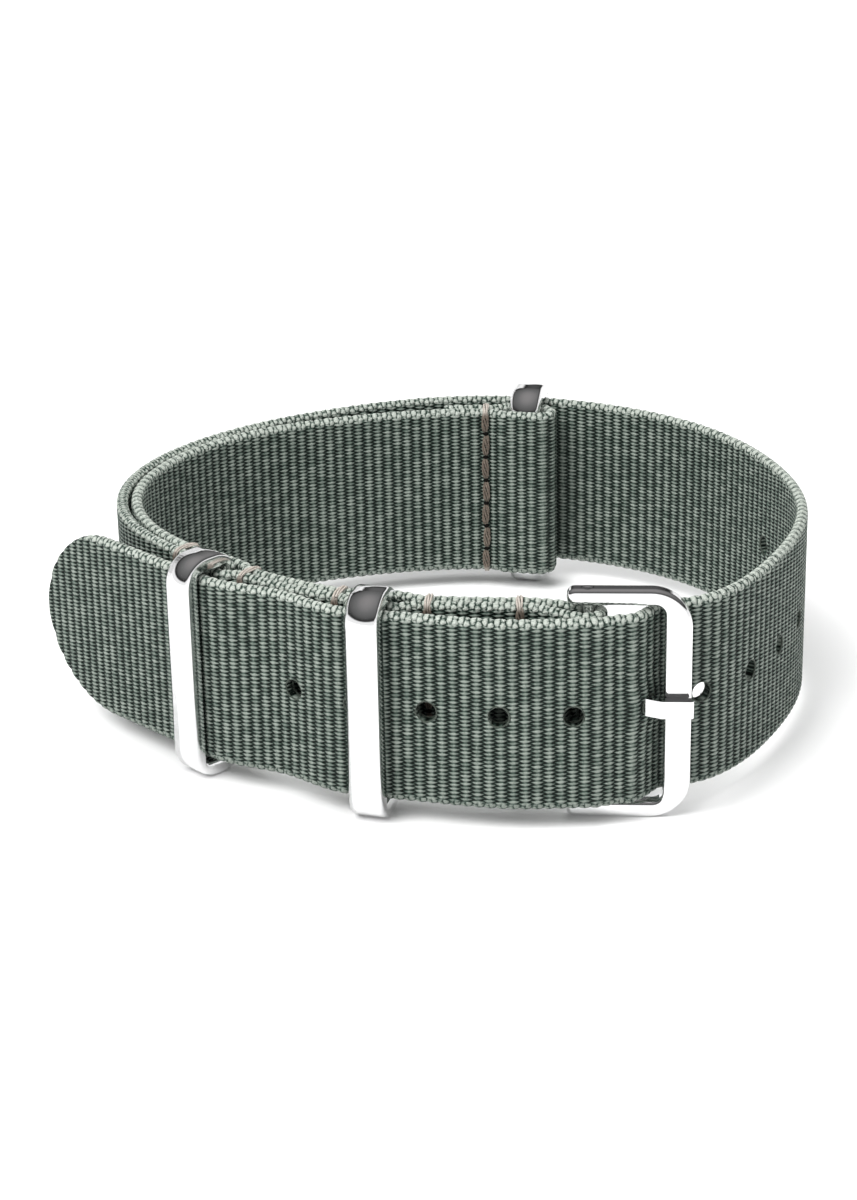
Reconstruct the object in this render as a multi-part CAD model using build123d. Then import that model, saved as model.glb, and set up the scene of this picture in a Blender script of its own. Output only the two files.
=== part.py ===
from build123d import *
from math import atan2, cos, radians, sin, tan
import os

# Webbing
webbing_width = 20.0
webbing_thickness = 1.25
sewn_gap = 0.1
loose_gap = 0.3
metal_play = 0.15
webbing_side_play = 0.4

# The closed loop, measured along the middle of the long leg
loop_width = 72.0
loop_depth = 64.9
# The line is walked from beside the buckle pin along the front to the left, round the back and home.
# Each pair is a share of half the width and of half the depth, from the middle of the loop.
loop_shares = [
    (0.33, -0.998), (-0.02, -0.971), (-0.309, -0.895), (-0.539, -0.753), (-0.749, -0.534),
    (-0.934, -0.259), (-1.0, 0.075), (-0.922, 0.378), (-0.712, 0.66), (-0.376, 0.882),
    (0.02, 0.992), (0.411, 0.909), (0.755, 0.645), (0.942, 0.285), (1.0, -0.202),
    (0.863, -0.654), (0.607, -0.974),
]

# Places along the loop, as lengths of webbing from the buckle pin
fold_seam_reach = 6.5
front_keeper_reach = 20.5
side_keeper_reach = 39.8
pocket_one_near_run = 3.25
pocket_one_far_run = 2.25
pocket_two_near_run = 2.25
pocket_two_far_run = 3.85
short_leg_ease = 14.7
rear_ring_reach = 125.3
rear_pocket_length = 5.2
rear_flap_length = 5.6
rear_ramp_length = 38.0

# Tail
tail_free_length = 23.4
tail_slack = 0.2
tail_bulge = 0.3
tail_dip = 1.0
tail_ring_play = 0.3
tail_sag = 1.4
hole_diameter = 2.2
hole_pitch = 7.15
hole_count = 13
tongue_hole_index = 5
tongue_hole_stretch = 1.0

# Rings, which stand on the same floor as the buckle
ring_thickness = 1.5
ring_width = 3.7
keeper_gap = 3.8
rear_ring_gap = 4.2
ring_outer_corner = 2.9
ring_inner_corner = 0.3
ring_edge_round = 0.5
ring_inner_bevel = 0.35
keeper_travel = 0.3
pocket_inner_share = 0.4

# Buckle
frame_thickness = 1.7
frame_rail = 1.7
frame_bar_reach = 8.75
frame_bar_width = 2.7
frame_outer_corner = 4.0
frame_inner_corner = 1.0
frame_end_reach = 2.0
frame_end_corner = 0.8
frame_edge_round = 0.45
frame_tilt = 1.5

pin_diameter = 1.2
pin_recess = 0.2
pin_stand_off = 1.1
pin_running_gap = 0.05

tongue_width = 1.8
tongue_thickness = 1.0
tongue_slot_play = 0.35
tongue_rise_start = 4.2
tongue_rise_length = 3.1
tongue_crossing_share = 0.4
tongue_tip_reach = 10.3
tongue_seat_gap = 0.03
tongue_bend_round = 0.6
tongue_tip_round = 0.35
tongue_eye_run = 1.4

# Sewing thread
thread_thickness = 0.35
thread_width = 0.9
thread_seat_gap = 0.05
thread_corner = 0.3
stitch_count = 7
stitch_notch = 0.22

# How finely the webbing's line is walked, and how far one arc of its outline may run and turn
walk_step = 0.2
arc_run = 4.0
arc_turn = 5.0
straight_bow = 0.002
cut_overrun = 3.0

# Worked out from the sizes above
half_thickness = webbing_thickness / 2
ring_height = webbing_width + 2 * (webbing_side_play + ring_thickness)
buckle_height = webbing_width + 2 * (webbing_side_play + frame_rail)
mid_height = buckle_height / 2
webbing_floor = (buckle_height - webbing_width) / 2
sewn_pitch = webbing_thickness + sewn_gap
loose_pitch = webbing_thickness + loose_gap
pin_radius = pin_diameter / 2
pin_wrap_radius = pin_radius + metal_play + half_thickness
bar_wrap_radius = ring_thickness / 2 + metal_play + half_thickness
bar_straight = (ring_width - ring_edge_round) / 2
pocket_rise = ring_thickness + 2 * metal_play - sewn_gap
pocket_rise_in = pocket_inner_share * pocket_rise
pocket_rise_out = pocket_rise - pocket_rise_in
keeper_bar_offset = half_thickness + metal_play + ring_thickness / 2 - sewn_pitch - pocket_rise_in
keeper_pitch = keeper_gap + ring_thickness
rear_ring_pitch = rear_ring_gap + ring_thickness
tail_ring_offset = keeper_bar_offset + keeper_pitch - ring_thickness / 2 - tail_ring_play - half_thickness
tail_pin_offset = pin_stand_off + pin_wrap_radius + tail_slack + webbing_thickness
rear_bar_offset = half_thickness + metal_play + ring_thickness / 2 - rear_ring_pitch
rear_leg_offset = rear_bar_offset - bar_wrap_radius
rear_flap_offset = rear_bar_offset + bar_wrap_radius
rear_seam_reach = rear_ring_reach - rear_pocket_length
pocket_one_near_reach = front_keeper_reach - ring_width / 2 - pocket_one_near_run
pocket_one_far_reach = front_keeper_reach + ring_width / 2 + pocket_one_far_run
pocket_two_near_reach = side_keeper_reach - ring_width / 2 - pocket_two_near_run
pocket_two_far_reach = side_keeper_reach + ring_width / 2 + pocket_two_far_run
frame_bar_start = frame_bar_reach - frame_bar_width / 2
frame_bar_inside = frame_bar_start * sin(radians(frame_tilt)) - frame_thickness / 2
tail_bar_offset = pin_stand_off + frame_bar_inside - metal_play - half_thickness
eye_radius = pin_radius + pin_running_gap + tongue_thickness

# The loop as one smooth closed curve, walked once in even steps
loop_points = [(x * loop_width / 2, y * loop_depth / 2) for x, y in loop_shares]
loop_line = Spline(loop_points, periodic=True)
loop_length = loop_line.length
loop_count = round(loop_length / walk_step)
loop_spots = [loop_line.position_at(k / loop_count) for k in range(loop_count)]


def loop_spot(reach):
    """A point of the loop, between two walked ones."""
    place = (reach % loop_length) / loop_length * loop_count
    index = int(place)
    here = loop_spots[index % loop_count]
    ahead = loop_spots[(index + 1) % loop_count]
    return here + (ahead - here) * (place - index)


def loop_tangent(reach):
    """Direction of the loop, walking left from the pin."""
    return (loop_spot(reach + walk_step) - loop_spot(reach - walk_step)).normalized()


def outward(tangent):
    """The direction square to a tangent, away from the wrist when the tangent walks left."""
    return Vector(-tangent.Y, tangent.X, 0)


def loop_normal(reach):
    """Outward direction of the loop, away from the wrist."""
    return outward(loop_tangent(reach))


def loop_point(reach, offset=0.0):
    """A point beside the loop, in plan."""
    return loop_spot(reach) + loop_normal(reach) * offset


def eased(stations, reach):
    """Offset between listed (reach, offset) stations, level at each of them."""
    if reach <= stations[0][0]:
        return stations[0][1]
    for (start, low), (end, high) in zip(stations, stations[1:]):
        if reach <= end:
            share = (reach - start) / (end - start)
            return low + (high - low) * share * share * (3 - 2 * share)
    return stations[-1][1]


def pocket_stations(near, keeper, far, base, rise):
    """The four stations at which one layer leaves its seam, clears the keeper and comes back."""
    level = ring_width / 2 - ring_edge_round + keeper_travel
    return [
        (near + thread_width / 2, base),
        (keeper - level, base + rise),
        (keeper + level, base + rise),
        (far - thread_width / 2, base),
    ]


def both_pockets(base, rise):
    """Stations of one layer over both keeper pockets."""
    first = pocket_stations(pocket_one_near_reach, front_keeper_reach, pocket_one_far_reach, base, rise)
    second = pocket_stations(pocket_two_near_reach, side_keeper_reach, pocket_two_far_reach, base, rise)
    return first + second


def long_leg_stations():
    """Offsets of the long leg and of the tail that it ends in."""
    sag = tail_ring_offset - tail_sag
    middle = (front_keeper_reach + side_keeper_reach) / 2
    grip = ring_width / 2 + keeper_travel
    bar = loop_length - frame_bar_start
    stations = [
        (0.0, pin_stand_off + pin_wrap_radius),
        (fold_seam_reach - thread_width / 2, 0.0),
    ]
    stations += both_pockets(0.0, pocket_rise_out)
    stations += [
        (bar - 2 * frame_bar_width, 0.0),
        (bar - metal_play, tail_bar_offset),
        (bar + frame_bar_start / 2, tail_pin_offset - tail_dip),
        (loop_length, tail_pin_offset),
        (loop_length + fold_seam_reach, tail_pin_offset + tail_bulge),
        (loop_length + front_keeper_reach - grip, tail_ring_offset),
        (loop_length + front_keeper_reach + grip, tail_ring_offset),
        (loop_length + middle, sag),
        (loop_length + side_keeper_reach - grip, tail_ring_offset),
    ]
    return stations


def short_leg_stations():
    """Offsets of the short leg, which lies against the wrist."""
    stations = [
        (0.0, pin_stand_off - pin_wrap_radius),
        (fold_seam_reach - thread_width / 2, -sewn_pitch),
    ]
    stations += both_pockets(-sewn_pitch, -pocket_rise_in)
    stations += [
        (pocket_two_far_reach + short_leg_ease, -loose_pitch),
        (rear_seam_reach - rear_ramp_length, -loose_pitch),
        (rear_seam_reach - thread_width / 2, rear_bar_offset - sewn_pitch / 2),
        (rear_seam_reach + thread_width / 2, rear_bar_offset - sewn_pitch / 2),
        (rear_ring_reach - ring_width / 2, rear_leg_offset),
    ]
    return stations


def flap_offset(reach):
    """The folded end lies outside the short leg and spreads to pass the rear ring's bar."""
    sewn = eased(short_leg_stations(), min(reach, rear_seam_reach)) + sewn_pitch
    spread = [
        (rear_seam_reach + thread_width / 2, 0.0),
        (rear_ring_reach - ring_width / 2, rear_flap_offset - rear_bar_offset - sewn_pitch / 2),
    ]
    return sewn + eased(spread, reach)


def run_points(start, end, offset_at):
    """Points of one webbing run, evenly spaced along the loop."""
    count = round(abs(end - start) / walk_step)
    reaches = [start + (end - start) * k / count for k in range(count + 1)]
    return [loop_point(reach, offset_at(reach)) for reach in reaches]


def turn_points(centre, normal, ahead, radius):
    """Half a turn round a bar, from its outer side to its inner side."""
    count = 2 * round(radius * 3 / walk_step)
    angles = [180 * k / count for k in range(1, count)]
    return [
        centre + normal * radius * cos(radians(angle)) + ahead * radius * sin(radians(angle))
        for angle in angles
    ]


def short_at(reach):
    """Offset of the short leg."""
    return eased(short_leg_stations(), reach)


def long_at(reach):
    """Offset of the long leg."""
    return eased(long_leg_stations(), reach)


def long_leg_points():
    """The middle line of the long leg, from the pin to the tip of the straight tail."""
    held = run_points(0, loop_length + side_keeper_reach + keeper_travel, long_at)
    direction = (held[-1] - held[-2]).normalized()
    count = round(tail_free_length / walk_step)
    return held + [held[-1] + direction * tail_free_length * k / count for k in range(1, count + 1)]


def webbing_points():
    """The middle line of the whole length, from the folded end to the tip of the tail."""
    ring_normal = loop_normal(rear_ring_reach)
    ring_tangent = loop_tangent(rear_ring_reach)
    ring_turn = loop_point(rear_ring_reach, rear_bar_offset) + ring_tangent * bar_straight
    pin_middle = loop_point(0, pin_stand_off)
    flap = run_points(rear_seam_reach - rear_flap_length, rear_ring_reach, flap_offset)
    ring_bend = turn_points(ring_turn, ring_normal, ring_tangent, bar_wrap_radius)
    short_leg = run_points(rear_ring_reach, 0, short_at)
    pin_bend = turn_points(pin_middle, loop_normal(0), -loop_tangent(0), pin_wrap_radius)
    return flap + ring_bend + short_leg + list(reversed(pin_bend)) + long_leg_points()


def direction_at(points, index):
    """Direction of a walked line at one of its points."""
    before = points[max(index - 1, 0)]
    after = points[min(index + 1, len(points) - 1)]
    return (after - before).normalized()


def arc_ends(points):
    """Where the arcs of the outline meet, close together only where the line bends."""
    kept = [0]
    for index in range(2, len(points) - 1, 2):
        last = kept[-1]
        turned = direction_at(points, index).get_angle(direction_at(points, last))
        if turned > arc_turn or (points[index] - points[last]).length > arc_run:
            kept.append(index)
    return kept + [len(points) - 1]


def webbing_side(points, offset):
    """One side of the webbing, a set distance from its middle line, as a row of arcs and lines."""
    kept = arc_ends(points)
    row = []
    for start, end in zip(kept, kept[1:]):
        spots = [
            points[index] + outward(direction_at(points, index)) * offset
            for index in (start, (start + end) // 2, end)
        ]
        first, middle, last = spots
        bow = abs((last - first).normalized().cross(middle - first).Z)
        row.append(Line(first, last) if bow < straight_bow else ThreePointArc(first, middle, last))
    return row


def tail_plane(distance):
    """A plane that looks outward through the long leg, a set distance back from the tip."""
    points = list(reversed(long_leg_points()))
    walked = 0.0
    for ahead, here, behind in zip(points, points[1:], points[2:]):
        walked += (here - ahead).length
        if walked >= distance:
            break
    tangent = (ahead - behind).normalized()
    middle = here + Vector(0, 0, mid_height)
    return Plane(origin=middle, x_dir=tangent, z_dir=outward(tangent))


def tongue_hole_distance():
    """How far from the tip the tongue passes through the tail."""
    crossing = frame_plane().from_local_coords(tongue_crossing())
    points = list(reversed(long_leg_points()))
    walked = 0.0
    found = (cut_overrun + buckle_height, walked)
    for ahead, here in zip(points, points[1:]):
        walked += (here - ahead).length
        away = here + Vector(0, 0, mid_height) - crossing
        found = min(found, (away.length, walked))
    return found[1]


def tip_cutter():
    """What is cut away to leave the tail's end as a half round."""
    radius = webbing_width / 2
    deep = 2 * webbing_thickness
    block = Box(2 * radius + cut_overrun, webbing_width + cut_overrun, deep)
    keep = Cylinder(radius, deep) + Pos(-radius, 0) * Box(2 * radius, webbing_width + 2 * cut_overrun, deep)
    return tail_plane(radius) * (Pos(radius, 0) * block - keep)


def tongue_slot():
    """The slot in the fold through which the tongue reaches the pin."""
    reach = pin_wrap_radius + half_thickness + loose_gap / 2
    middle = loop_point(0, pin_stand_off) + Vector(0, 0, mid_height)
    plane = Plane(origin=middle, x_dir=-loop_tangent(0), z_dir=loop_normal(0))
    inner = eye_radius + tongue_slot_play
    height = tongue_width + 2 * tongue_slot_play
    wide = inner + reach
    return plane * (Pos((reach - inner) / 2, 0) * Box(wide, height, 2 * reach))


def make_webbing():
    """One length of webbing: folded end, short leg, fold round the pin, long leg and tail."""
    points = webbing_points()
    near = webbing_side(points, half_thickness)
    far = webbing_side(points, -half_thickness)
    ends = [Line(near[0] @ 0, far[0] @ 0), Line(near[-1] @ 1, far[-1] @ 1)]
    section = make_face(near + far + ends)
    webbing = Pos(0, 0, webbing_floor) * extrude(section, webbing_width, dir=(0, 0, 1))
    punches = []
    used_hole = tongue_hole_distance()
    for index in range(hole_count):
        profile = Circle(hole_diameter / 2)
        depth = half_thickness + loose_gap / 2
        if index == tongue_hole_index:
            profile = SlotOverall(hole_diameter + tongue_hole_stretch, hole_diameter)
            depth = webbing_thickness
        distance = used_hole + (index - tongue_hole_index) * hole_pitch
        punches.append(tail_plane(distance) * extrude(profile, depth, both=True))
    return webbing - punches - tongue_slot() - tip_cutter()


def tongue_crossing():
    """Where the tongue passes through the tail, in the frame's plane."""
    share = tongue_crossing_share
    return Vector(tongue_rise_start + tongue_rise_length * share, 0, tongue_lift() * share)


def frame_plane():
    """The buckle's own plane: x runs from the pin to the outer bar, z points away from the wrist."""
    normal = loop_normal(0)
    away = -loop_tangent(0)
    angle = radians(frame_tilt)
    x_dir = away * cos(angle) + normal * sin(angle)
    z_dir = normal * cos(angle) - away * sin(angle)
    middle = loop_point(0, pin_stand_off) + Vector(0, 0, mid_height)
    return Plane(origin=middle, x_dir=x_dir, z_dir=z_dir)


def make_buckle_frame():
    """Two rails joined by the outer bar, with rounded corners and an open end at the pin."""
    length = frame_bar_reach + frame_bar_width / 2 + frame_end_reach
    window_length = frame_bar_start + frame_end_reach + cut_overrun
    window_height = buckle_height - 2 * frame_rail
    blank = Pos(length / 2 - frame_end_reach, 0) * Rectangle(length, buckle_height)
    window = Pos(frame_bar_start - window_length / 2, 0) * Rectangle(window_length, window_height)
    outline = blank - window
    corners = outline.vertices().sort_by(Axis.X)
    outline = fillet(corners[:4], frame_end_corner)
    corners = outline.vertices().sort_by(Axis.X)
    outline = fillet(corners[-2:], frame_outer_corner)
    corners = outline.vertices().filter_by_position(Axis.X, frame_bar_start, frame_bar_start)
    outline = fillet(corners, frame_inner_corner)
    solid = extrude(outline, frame_thickness / 2, both=True)
    faces = solid.faces().sort_by(Axis.Z)
    solid = fillet(faces[-1].edges() + faces[0].edges(), frame_edge_round)
    bore = Rot(90, 0, 0) * Cylinder(pin_radius, buckle_height + cut_overrun)
    return frame_plane() * (solid - bore)


def make_buckle_pin():
    """The straight pin across the open end, pressed into both rails."""
    pin = Cylinder(pin_radius, buckle_height - 2 * pin_recess)
    pin = chamfer(pin.edges(), pin_recess)
    return frame_plane() * (Rot(90, 0, 0) * pin)


def tongue_lift():
    """Height of the tongue's middle line above the frame's, where it lies on the bar."""
    return frame_thickness / 2 + tongue_seat_gap + tongue_thickness / 2


def make_buckle_tongue():
    """A flat bar rolled into an eye at the pin and joggled up onto the outer bar."""
    lift = tongue_lift()
    half = tongue_thickness / 2
    rise_end = tongue_rise_start + tongue_rise_length
    lean = half * tan(atan2(lift, tongue_rise_length) / 2)
    strip = Polyline(
        (tongue_eye_run, -half),
        (tongue_rise_start + lean, -half),
        (rise_end + lean, lift - half),
        (tongue_tip_reach, lift - half),
        (tongue_tip_reach, lift + half),
        (rise_end - lean, lift + half),
        (tongue_rise_start - lean, half),
        (tongue_eye_run, half),
        close=True,
    )
    side = make_face(strip)
    bends = side.vertices().sort_by(Axis.X)[2:-2]
    side = fillet(bends, tongue_bend_round)
    tip = side.vertices().sort_by(Axis.X)[-2:]
    side = fillet(tip, tongue_tip_round)
    profile = side + Circle(eye_radius)
    profile = profile - Circle(pin_radius + pin_running_gap)
    solid = extrude(profile, tongue_width / 2, both=True)
    solid = Rot(90, 0, 0) * solid
    return frame_plane() * solid


def ring_plane(reach, offset):
    """A ring's own plane: x points away from the wrist, y up, z along the strap."""
    middle = loop_point(reach, offset) + Vector(0, 0, ring_height / 2)
    return Plane(origin=middle, x_dir=loop_normal(reach), z_dir=loop_tangent(reach))


def make_ring(reach, bar_offset, gap):
    """A flat metal band bent to a tall rounded rectangle, with softened edges."""
    band = RectangleRounded(gap + 2 * ring_thickness, ring_height, ring_outer_corner)
    opening = RectangleRounded(gap, ring_height - 2 * ring_thickness, ring_inner_corner)
    solid = extrude(band, ring_width / 2, both=True)
    sides = solid.faces().sort_by(Axis.Z)
    solid = fillet(sides[0].edges() + sides[-1].edges(), ring_edge_round)
    solid = solid - extrude(opening, ring_width, both=True)
    sides = solid.faces().sort_by(Axis.Z)
    inner = sides[0].inner_wires()[0].edges() + sides[-1].inner_wires()[0].edges()
    solid = chamfer(inner, ring_inner_bevel)
    return ring_plane(reach, bar_offset + (gap + ring_thickness) / 2) * solid


def seam_plane(reach, offset):
    """A plane across the strap at a seam: x points away from the wrist, y up, z along the strap."""
    middle = loop_point(reach, offset) + Vector(0, 0, mid_height)
    return Plane(origin=middle, x_dir=loop_normal(reach), z_dir=loop_tangent(reach))


def make_seam(reach, offset):
    """The two threads of one seam through two layers, centred on the offset between them."""
    inner_depth = webbing_thickness + sewn_pitch + 2 * thread_seat_gap
    inner_height = webbing_width + 2 * thread_seat_gap
    outer_depth = inner_depth + 2 * thread_thickness
    outer_height = inner_height + 2 * thread_thickness
    band = RectangleRounded(outer_depth, outer_height, thread_corner) - Rectangle(inner_depth, inner_height)
    loop = extrude(band, thread_width / 2, both=True)
    pitch = webbing_width / stitch_count
    notches = []
    for side in (-1, 1):
        for k in range(1, stitch_count):
            place = Pos(side * outer_depth / 2, k * pitch - webbing_width / 2)
            notches.append(place * Cylinder(stitch_notch, thread_width + cut_overrun))
    loop = loop - notches
    bobbin_zone = Pos(inner_depth / 2 + thread_thickness, 0) * Box(
        2 * thread_thickness, inner_height, thread_width + cut_overrun
    )
    plane = seam_plane(reach, offset)
    return plane * (loop - bobbin_zone), plane * (loop & bobbin_zone)


def seam_places():
    """Name, reach and middle offset of every seam."""
    front = -sewn_pitch / 2
    return [
        ("fold_seam", fold_seam_reach, front),
        ("pocket_one_near_seam", pocket_one_near_reach, front),
        ("pocket_one_far_seam", pocket_one_far_reach, front),
        ("pocket_two_near_seam", pocket_two_near_reach, front),
        ("pocket_two_far_seam", pocket_two_far_reach, front),
        ("rear_seam", rear_seam_reach, rear_bar_offset),
    ]


def make_parts():
    """Every piece by name, standing on the floor with the origin below the middle of the whole."""
    parts = {
        "webbing": make_webbing(),
        "buckle_frame": make_buckle_frame(),
        "buckle_pin": make_buckle_pin(),
        "buckle_tongue": make_buckle_tongue(),
        "front_keeper": make_ring(front_keeper_reach, keeper_bar_offset, keeper_gap),
        "side_keeper": make_ring(side_keeper_reach, keeper_bar_offset, keeper_gap),
        "rear_ring": make_ring(rear_ring_reach, rear_bar_offset, rear_ring_gap),
    }
    for name, reach, middle in seam_places():
        needle, bobbin = make_seam(reach, middle)
        parts[name + "_needle_thread"] = needle
        parts[name + "_bobbin_thread"] = bobbin
    box = Compound(children=[solid for part in parts.values() for solid in part.solids()]).bounding_box()
    move = Pos(-box.center().X, -box.center().Y, 0)
    return {name: move * part for name, part in parts.items()}, move


parts, home = make_parts()
os.makedirs("parts", exist_ok=True)
for name, part in parts.items():
    export_step(part, f"parts/{name}.step")
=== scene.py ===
from math import cos, pi, radians, sin

import bpy
import numpy as np
from mathutils import Matrix, Vector


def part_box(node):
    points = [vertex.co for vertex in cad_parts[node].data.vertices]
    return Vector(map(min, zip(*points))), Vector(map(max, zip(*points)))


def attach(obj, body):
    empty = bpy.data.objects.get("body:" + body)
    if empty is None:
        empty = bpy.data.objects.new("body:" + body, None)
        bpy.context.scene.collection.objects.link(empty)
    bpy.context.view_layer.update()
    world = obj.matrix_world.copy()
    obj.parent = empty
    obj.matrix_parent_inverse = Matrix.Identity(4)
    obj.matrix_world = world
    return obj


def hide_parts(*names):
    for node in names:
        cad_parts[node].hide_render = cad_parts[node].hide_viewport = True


bl_info = {
    "name": "Woven watch strap",
    "version": (1, 0, 0),
    "blender": (4, 5, 0),
    "location": "View3D > Sidebar > Strap",
    "description": "Dresses the packed watch strap in webbing, sewing thread and polished steel",
    "category": "Object",
}

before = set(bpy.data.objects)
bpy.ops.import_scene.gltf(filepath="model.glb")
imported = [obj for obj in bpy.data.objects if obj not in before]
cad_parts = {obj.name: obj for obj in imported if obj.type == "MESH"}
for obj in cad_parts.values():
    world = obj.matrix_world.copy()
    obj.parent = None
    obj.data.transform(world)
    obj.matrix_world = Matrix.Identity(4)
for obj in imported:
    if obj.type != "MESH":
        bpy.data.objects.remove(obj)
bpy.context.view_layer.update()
MM = 0.001

# The loop's middle line as shares of half its width and half its depth, from the buckle pin leftwards
LOOP_WIDTH = 72.0
LOOP_DEPTH = 64.9
LOOP_SHARES = [
    (0.33, -0.998), (-0.02, -0.971), (-0.309, -0.895), (-0.539, -0.753), (-0.749, -0.534),
    (-0.934, -0.259), (-1.0, 0.075), (-0.922, 0.378), (-0.712, 0.66), (-0.376, 0.882),
    (0.02, 0.992), (0.411, 0.909), (0.755, 0.645), (0.942, 0.285), (1.0, -0.202),
    (0.863, -0.654), (0.607, -0.974),
]
LOOP_STEP = 0.1
TANGENT_REACH = 0.4
SMOOTH_ROWS = 2
TURN_POINTS = 40

# Places along the loop and heights above the floor, in millimetres as in the solid model
MID_HEIGHT = 12.1
HALF_WEB = 0.625
SEWN_PITCH = 1.35
LOOSE_PITCH = 1.55
PIN_STAND_OFF = 1.1
PIN_WRAP = 1.375
PIN_RADIUS = 0.6
PIN_RUNNING_GAP = 0.05
METAL_PLAY = 0.15
BAR_WRAP = 1.525
BAR_STRAIGHT = 1.6
FOLD_SEAM = 6.5
POCKETS = ((20.0, 9.2, 20.5), (40.6, 9.8, 39.8))
POCKET_RISE = 1.7
POCKET_RISE_IN = 0.68
RING_HALF_WIDTH = 1.85
KEEPER_TRAVEL = 0.3
KEEPER_LEVEL = 1.65
REAR_RING = 125.3
REAR_SEAM = 120.1
REAR_BAR_OFFSET = -4.175
REAR_FLAP = 5.6
REAR_RAMP = 38.0
TAIL_RING_OFFSET = 3.12
TAIL_SAG = 1.4
TAIL_PIN_OFFSET = 3.925
TAIL_BAR_OFFSET = -0.331
TAIL_DIP = 1.0
TAIL_BULGE = 0.3
TAIL_FREE = 23.4
BAR_START = 7.4
BAR_WIDTH = 2.7
FRAME_TILT = 1.5
HALF_STITCH = 0.45

# The tongue, where it climbs through the tail, and the slot that it leaves the fold by
TONGUE_RISE_START = 4.2
TONGUE_RISE_LENGTH = 3.1
TONGUE_RISE_HEIGHT = 1.38
TONGUE_CROSSING_SHARE = 0.4
TONGUE_THICKNESS = 1.0
TONGUE_SLOT_PLAY = 0.35
SLOT_HALF_WIDTH = 1.3
SLOT_OVERRUN = 0.15

# The punched row
HOLE_COUNT = 13
TONGUE_HOLE = 5
HOLE_PITCH = 7.15
TONGUE_HOLE_ASIDE = -0.15
TONGUE_HOLE_LEAN = 0.5
LEAN_REACH = 3.0
LEAN_FALL = 1.4
SMALLEST_REACH = 0.1

# The webbing's mesh: rows along it, lines across it, and how its edges and its tip are rounded
ROWS_PER_RIB = 6
HOLE_ZONE = 1.8
HOLE_ZONE_LINES = 19
PLAIN_ZONE_LINES = 12
EDGE_LINES = 6
RIB_SQUARENESS = 0.6
EDGE_THINNEST_SHARE = 0.3
EDGE_WAVE = 0.12
TIP_BLUNTNESS = 0.09

# The weave's look: shares of a rib or of a yarn, heights where 1 is a crest, and slopes of its tones, which
# paint shade into the low places and highlights onto the crests
RIB_SWAY = 0.15
YARN_LEAN = 0.2
RIB_FALL, RIB_FALL_GAIN = 0.75, 0.5
YARN_FALL, YARN_FALL_GAIN = 0.5, 0.6
KNOT_ZONE, KNOT_ZONE_SLOPE = 0.9, 2.5
KNOTS_PER_RIB, KNOTS_PER_MM = 2.0, 1.3
KNOT_TOP, KNOT_FALL, KNOT_RAGGED = 1.4, 0.7, 1.2
YARN_CHANGE, PATCH_CHANGE = 0.3, 0.6
LOW_TONE_FROM, LOW_TONE_SLOPE = 0.02, 1.6
HIGH_TONE_FROM, HIGH_TONE_SLOPE = 0.56, 1.9

# Stitches, in millimetres, shares of a stitch and turns
STITCH_START_SHARE, STITCH_RUN_SHARE = 0.07, 0.86
STITCH_POINTS = 15
STITCH_SLOPE = 5
STITCH_DIP = 0.3
STITCH_LEAN, STITCH_SHIFT = 0.12, 0.05
LEAN_PHASE, SHIFT_PHASE, TURN_PHASE = 1.7, 2.9, 1.3
STITCH_STRANDS, STITCH_HALF_WIDTH, STITCH_TURNS = 6, 0.34, 0.4
WRAP_POINTS = 22
WRAP_START, WRAP_RISE, WRAP_SQUARENESS = 0.9, 0.95, 0.4
WRAP_STRANDS, WRAP_HALF_WIDTH, WRAP_TURNS = 5, 0.27, 0.3
STRAND_SIDES = 5
BUNDLE_END_SHARE = 0.35
STRAND_LIFT = 1.1
PIT_REACHES = (-0.34, -0.17, 0, 0.17, 0.34)
PIT_RADII = (0.05, 0.2, 0.24, 0.2, 0.05)
PIT_DEPTH = 0.02
THREAD_PALE_ZONE, THREAD_PALE_SLOPE = 0.7, 1.5

# The sealed rims of the holes and the yarn ends in them, in millimetres and radians
RAGGED_SEED = 7
RIM_POINTS, RIM_SIDES = 40, 6
RIM_INSET, RIM_SINK, RIM_RADIUS = 0.02, 0.13, 0.10
RIM_RAGGED, RIM_WAVE = 0.10, 0.08
FIBRES_PER_HOLE, FIBRE_POINTS, FIBRE_SIDES = 12, 5, 4
FIBRE_DEPTHS, FIBRE_REACHES, FIBRE_SWINGS = (-0.55, 0.15), (0.12, 0.4), (-0.9, 0.9)
FIBRE_ROOT, FIBRE_RISE = 0.1, 0.15
FIBRE_RADIUS, FIBRE_TAPER = 0.04, 0.02

UP = np.array([0, 0, 1.0])


class StrapSizes(bpy.types.PropertyGroup):
    """Sizes of the webbing's weave, its holes and its stitches."""

    web_width: bpy.props.FloatProperty(
        name="Webbing width", description="Width of the webbing", default=0.02, unit="LENGTH"
    )
    rib_pitch: bpy.props.FloatProperty(
        name="Rib pitch", description="Distance between two crosswise ribs", default=0.00115, unit="LENGTH"
    )
    rib_depth: bpy.props.FloatProperty(
        name="Rib depth", description="Depth of the valley between two ribs", default=0.0002, unit="LENGTH"
    )
    grain_pitch: bpy.props.FloatProperty(
        name="Grain pitch", description="Distance between two yarns in a rib", default=0.00042, unit="LENGTH"
    )
    edge_round: bpy.props.FloatProperty(
        name="Edge bead", description="Width of the rounded woven edge", default=0.0006, unit="LENGTH"
    )
    hole_diameter: bpy.props.FloatProperty(
        name="Hole diameter", description="Diameter of a punched hole", default=0.0022, unit="LENGTH"
    )
    strand_radius: bpy.props.FloatProperty(
        name="Strand radius", description="Radius of one strand of the thread", default=0.00011, unit="LENGTH"
    )
    stitch_count: bpy.props.IntProperty(
        name="Stitches in a seam", description="Stitches across the webbing", default=7, min=1
    )


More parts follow.
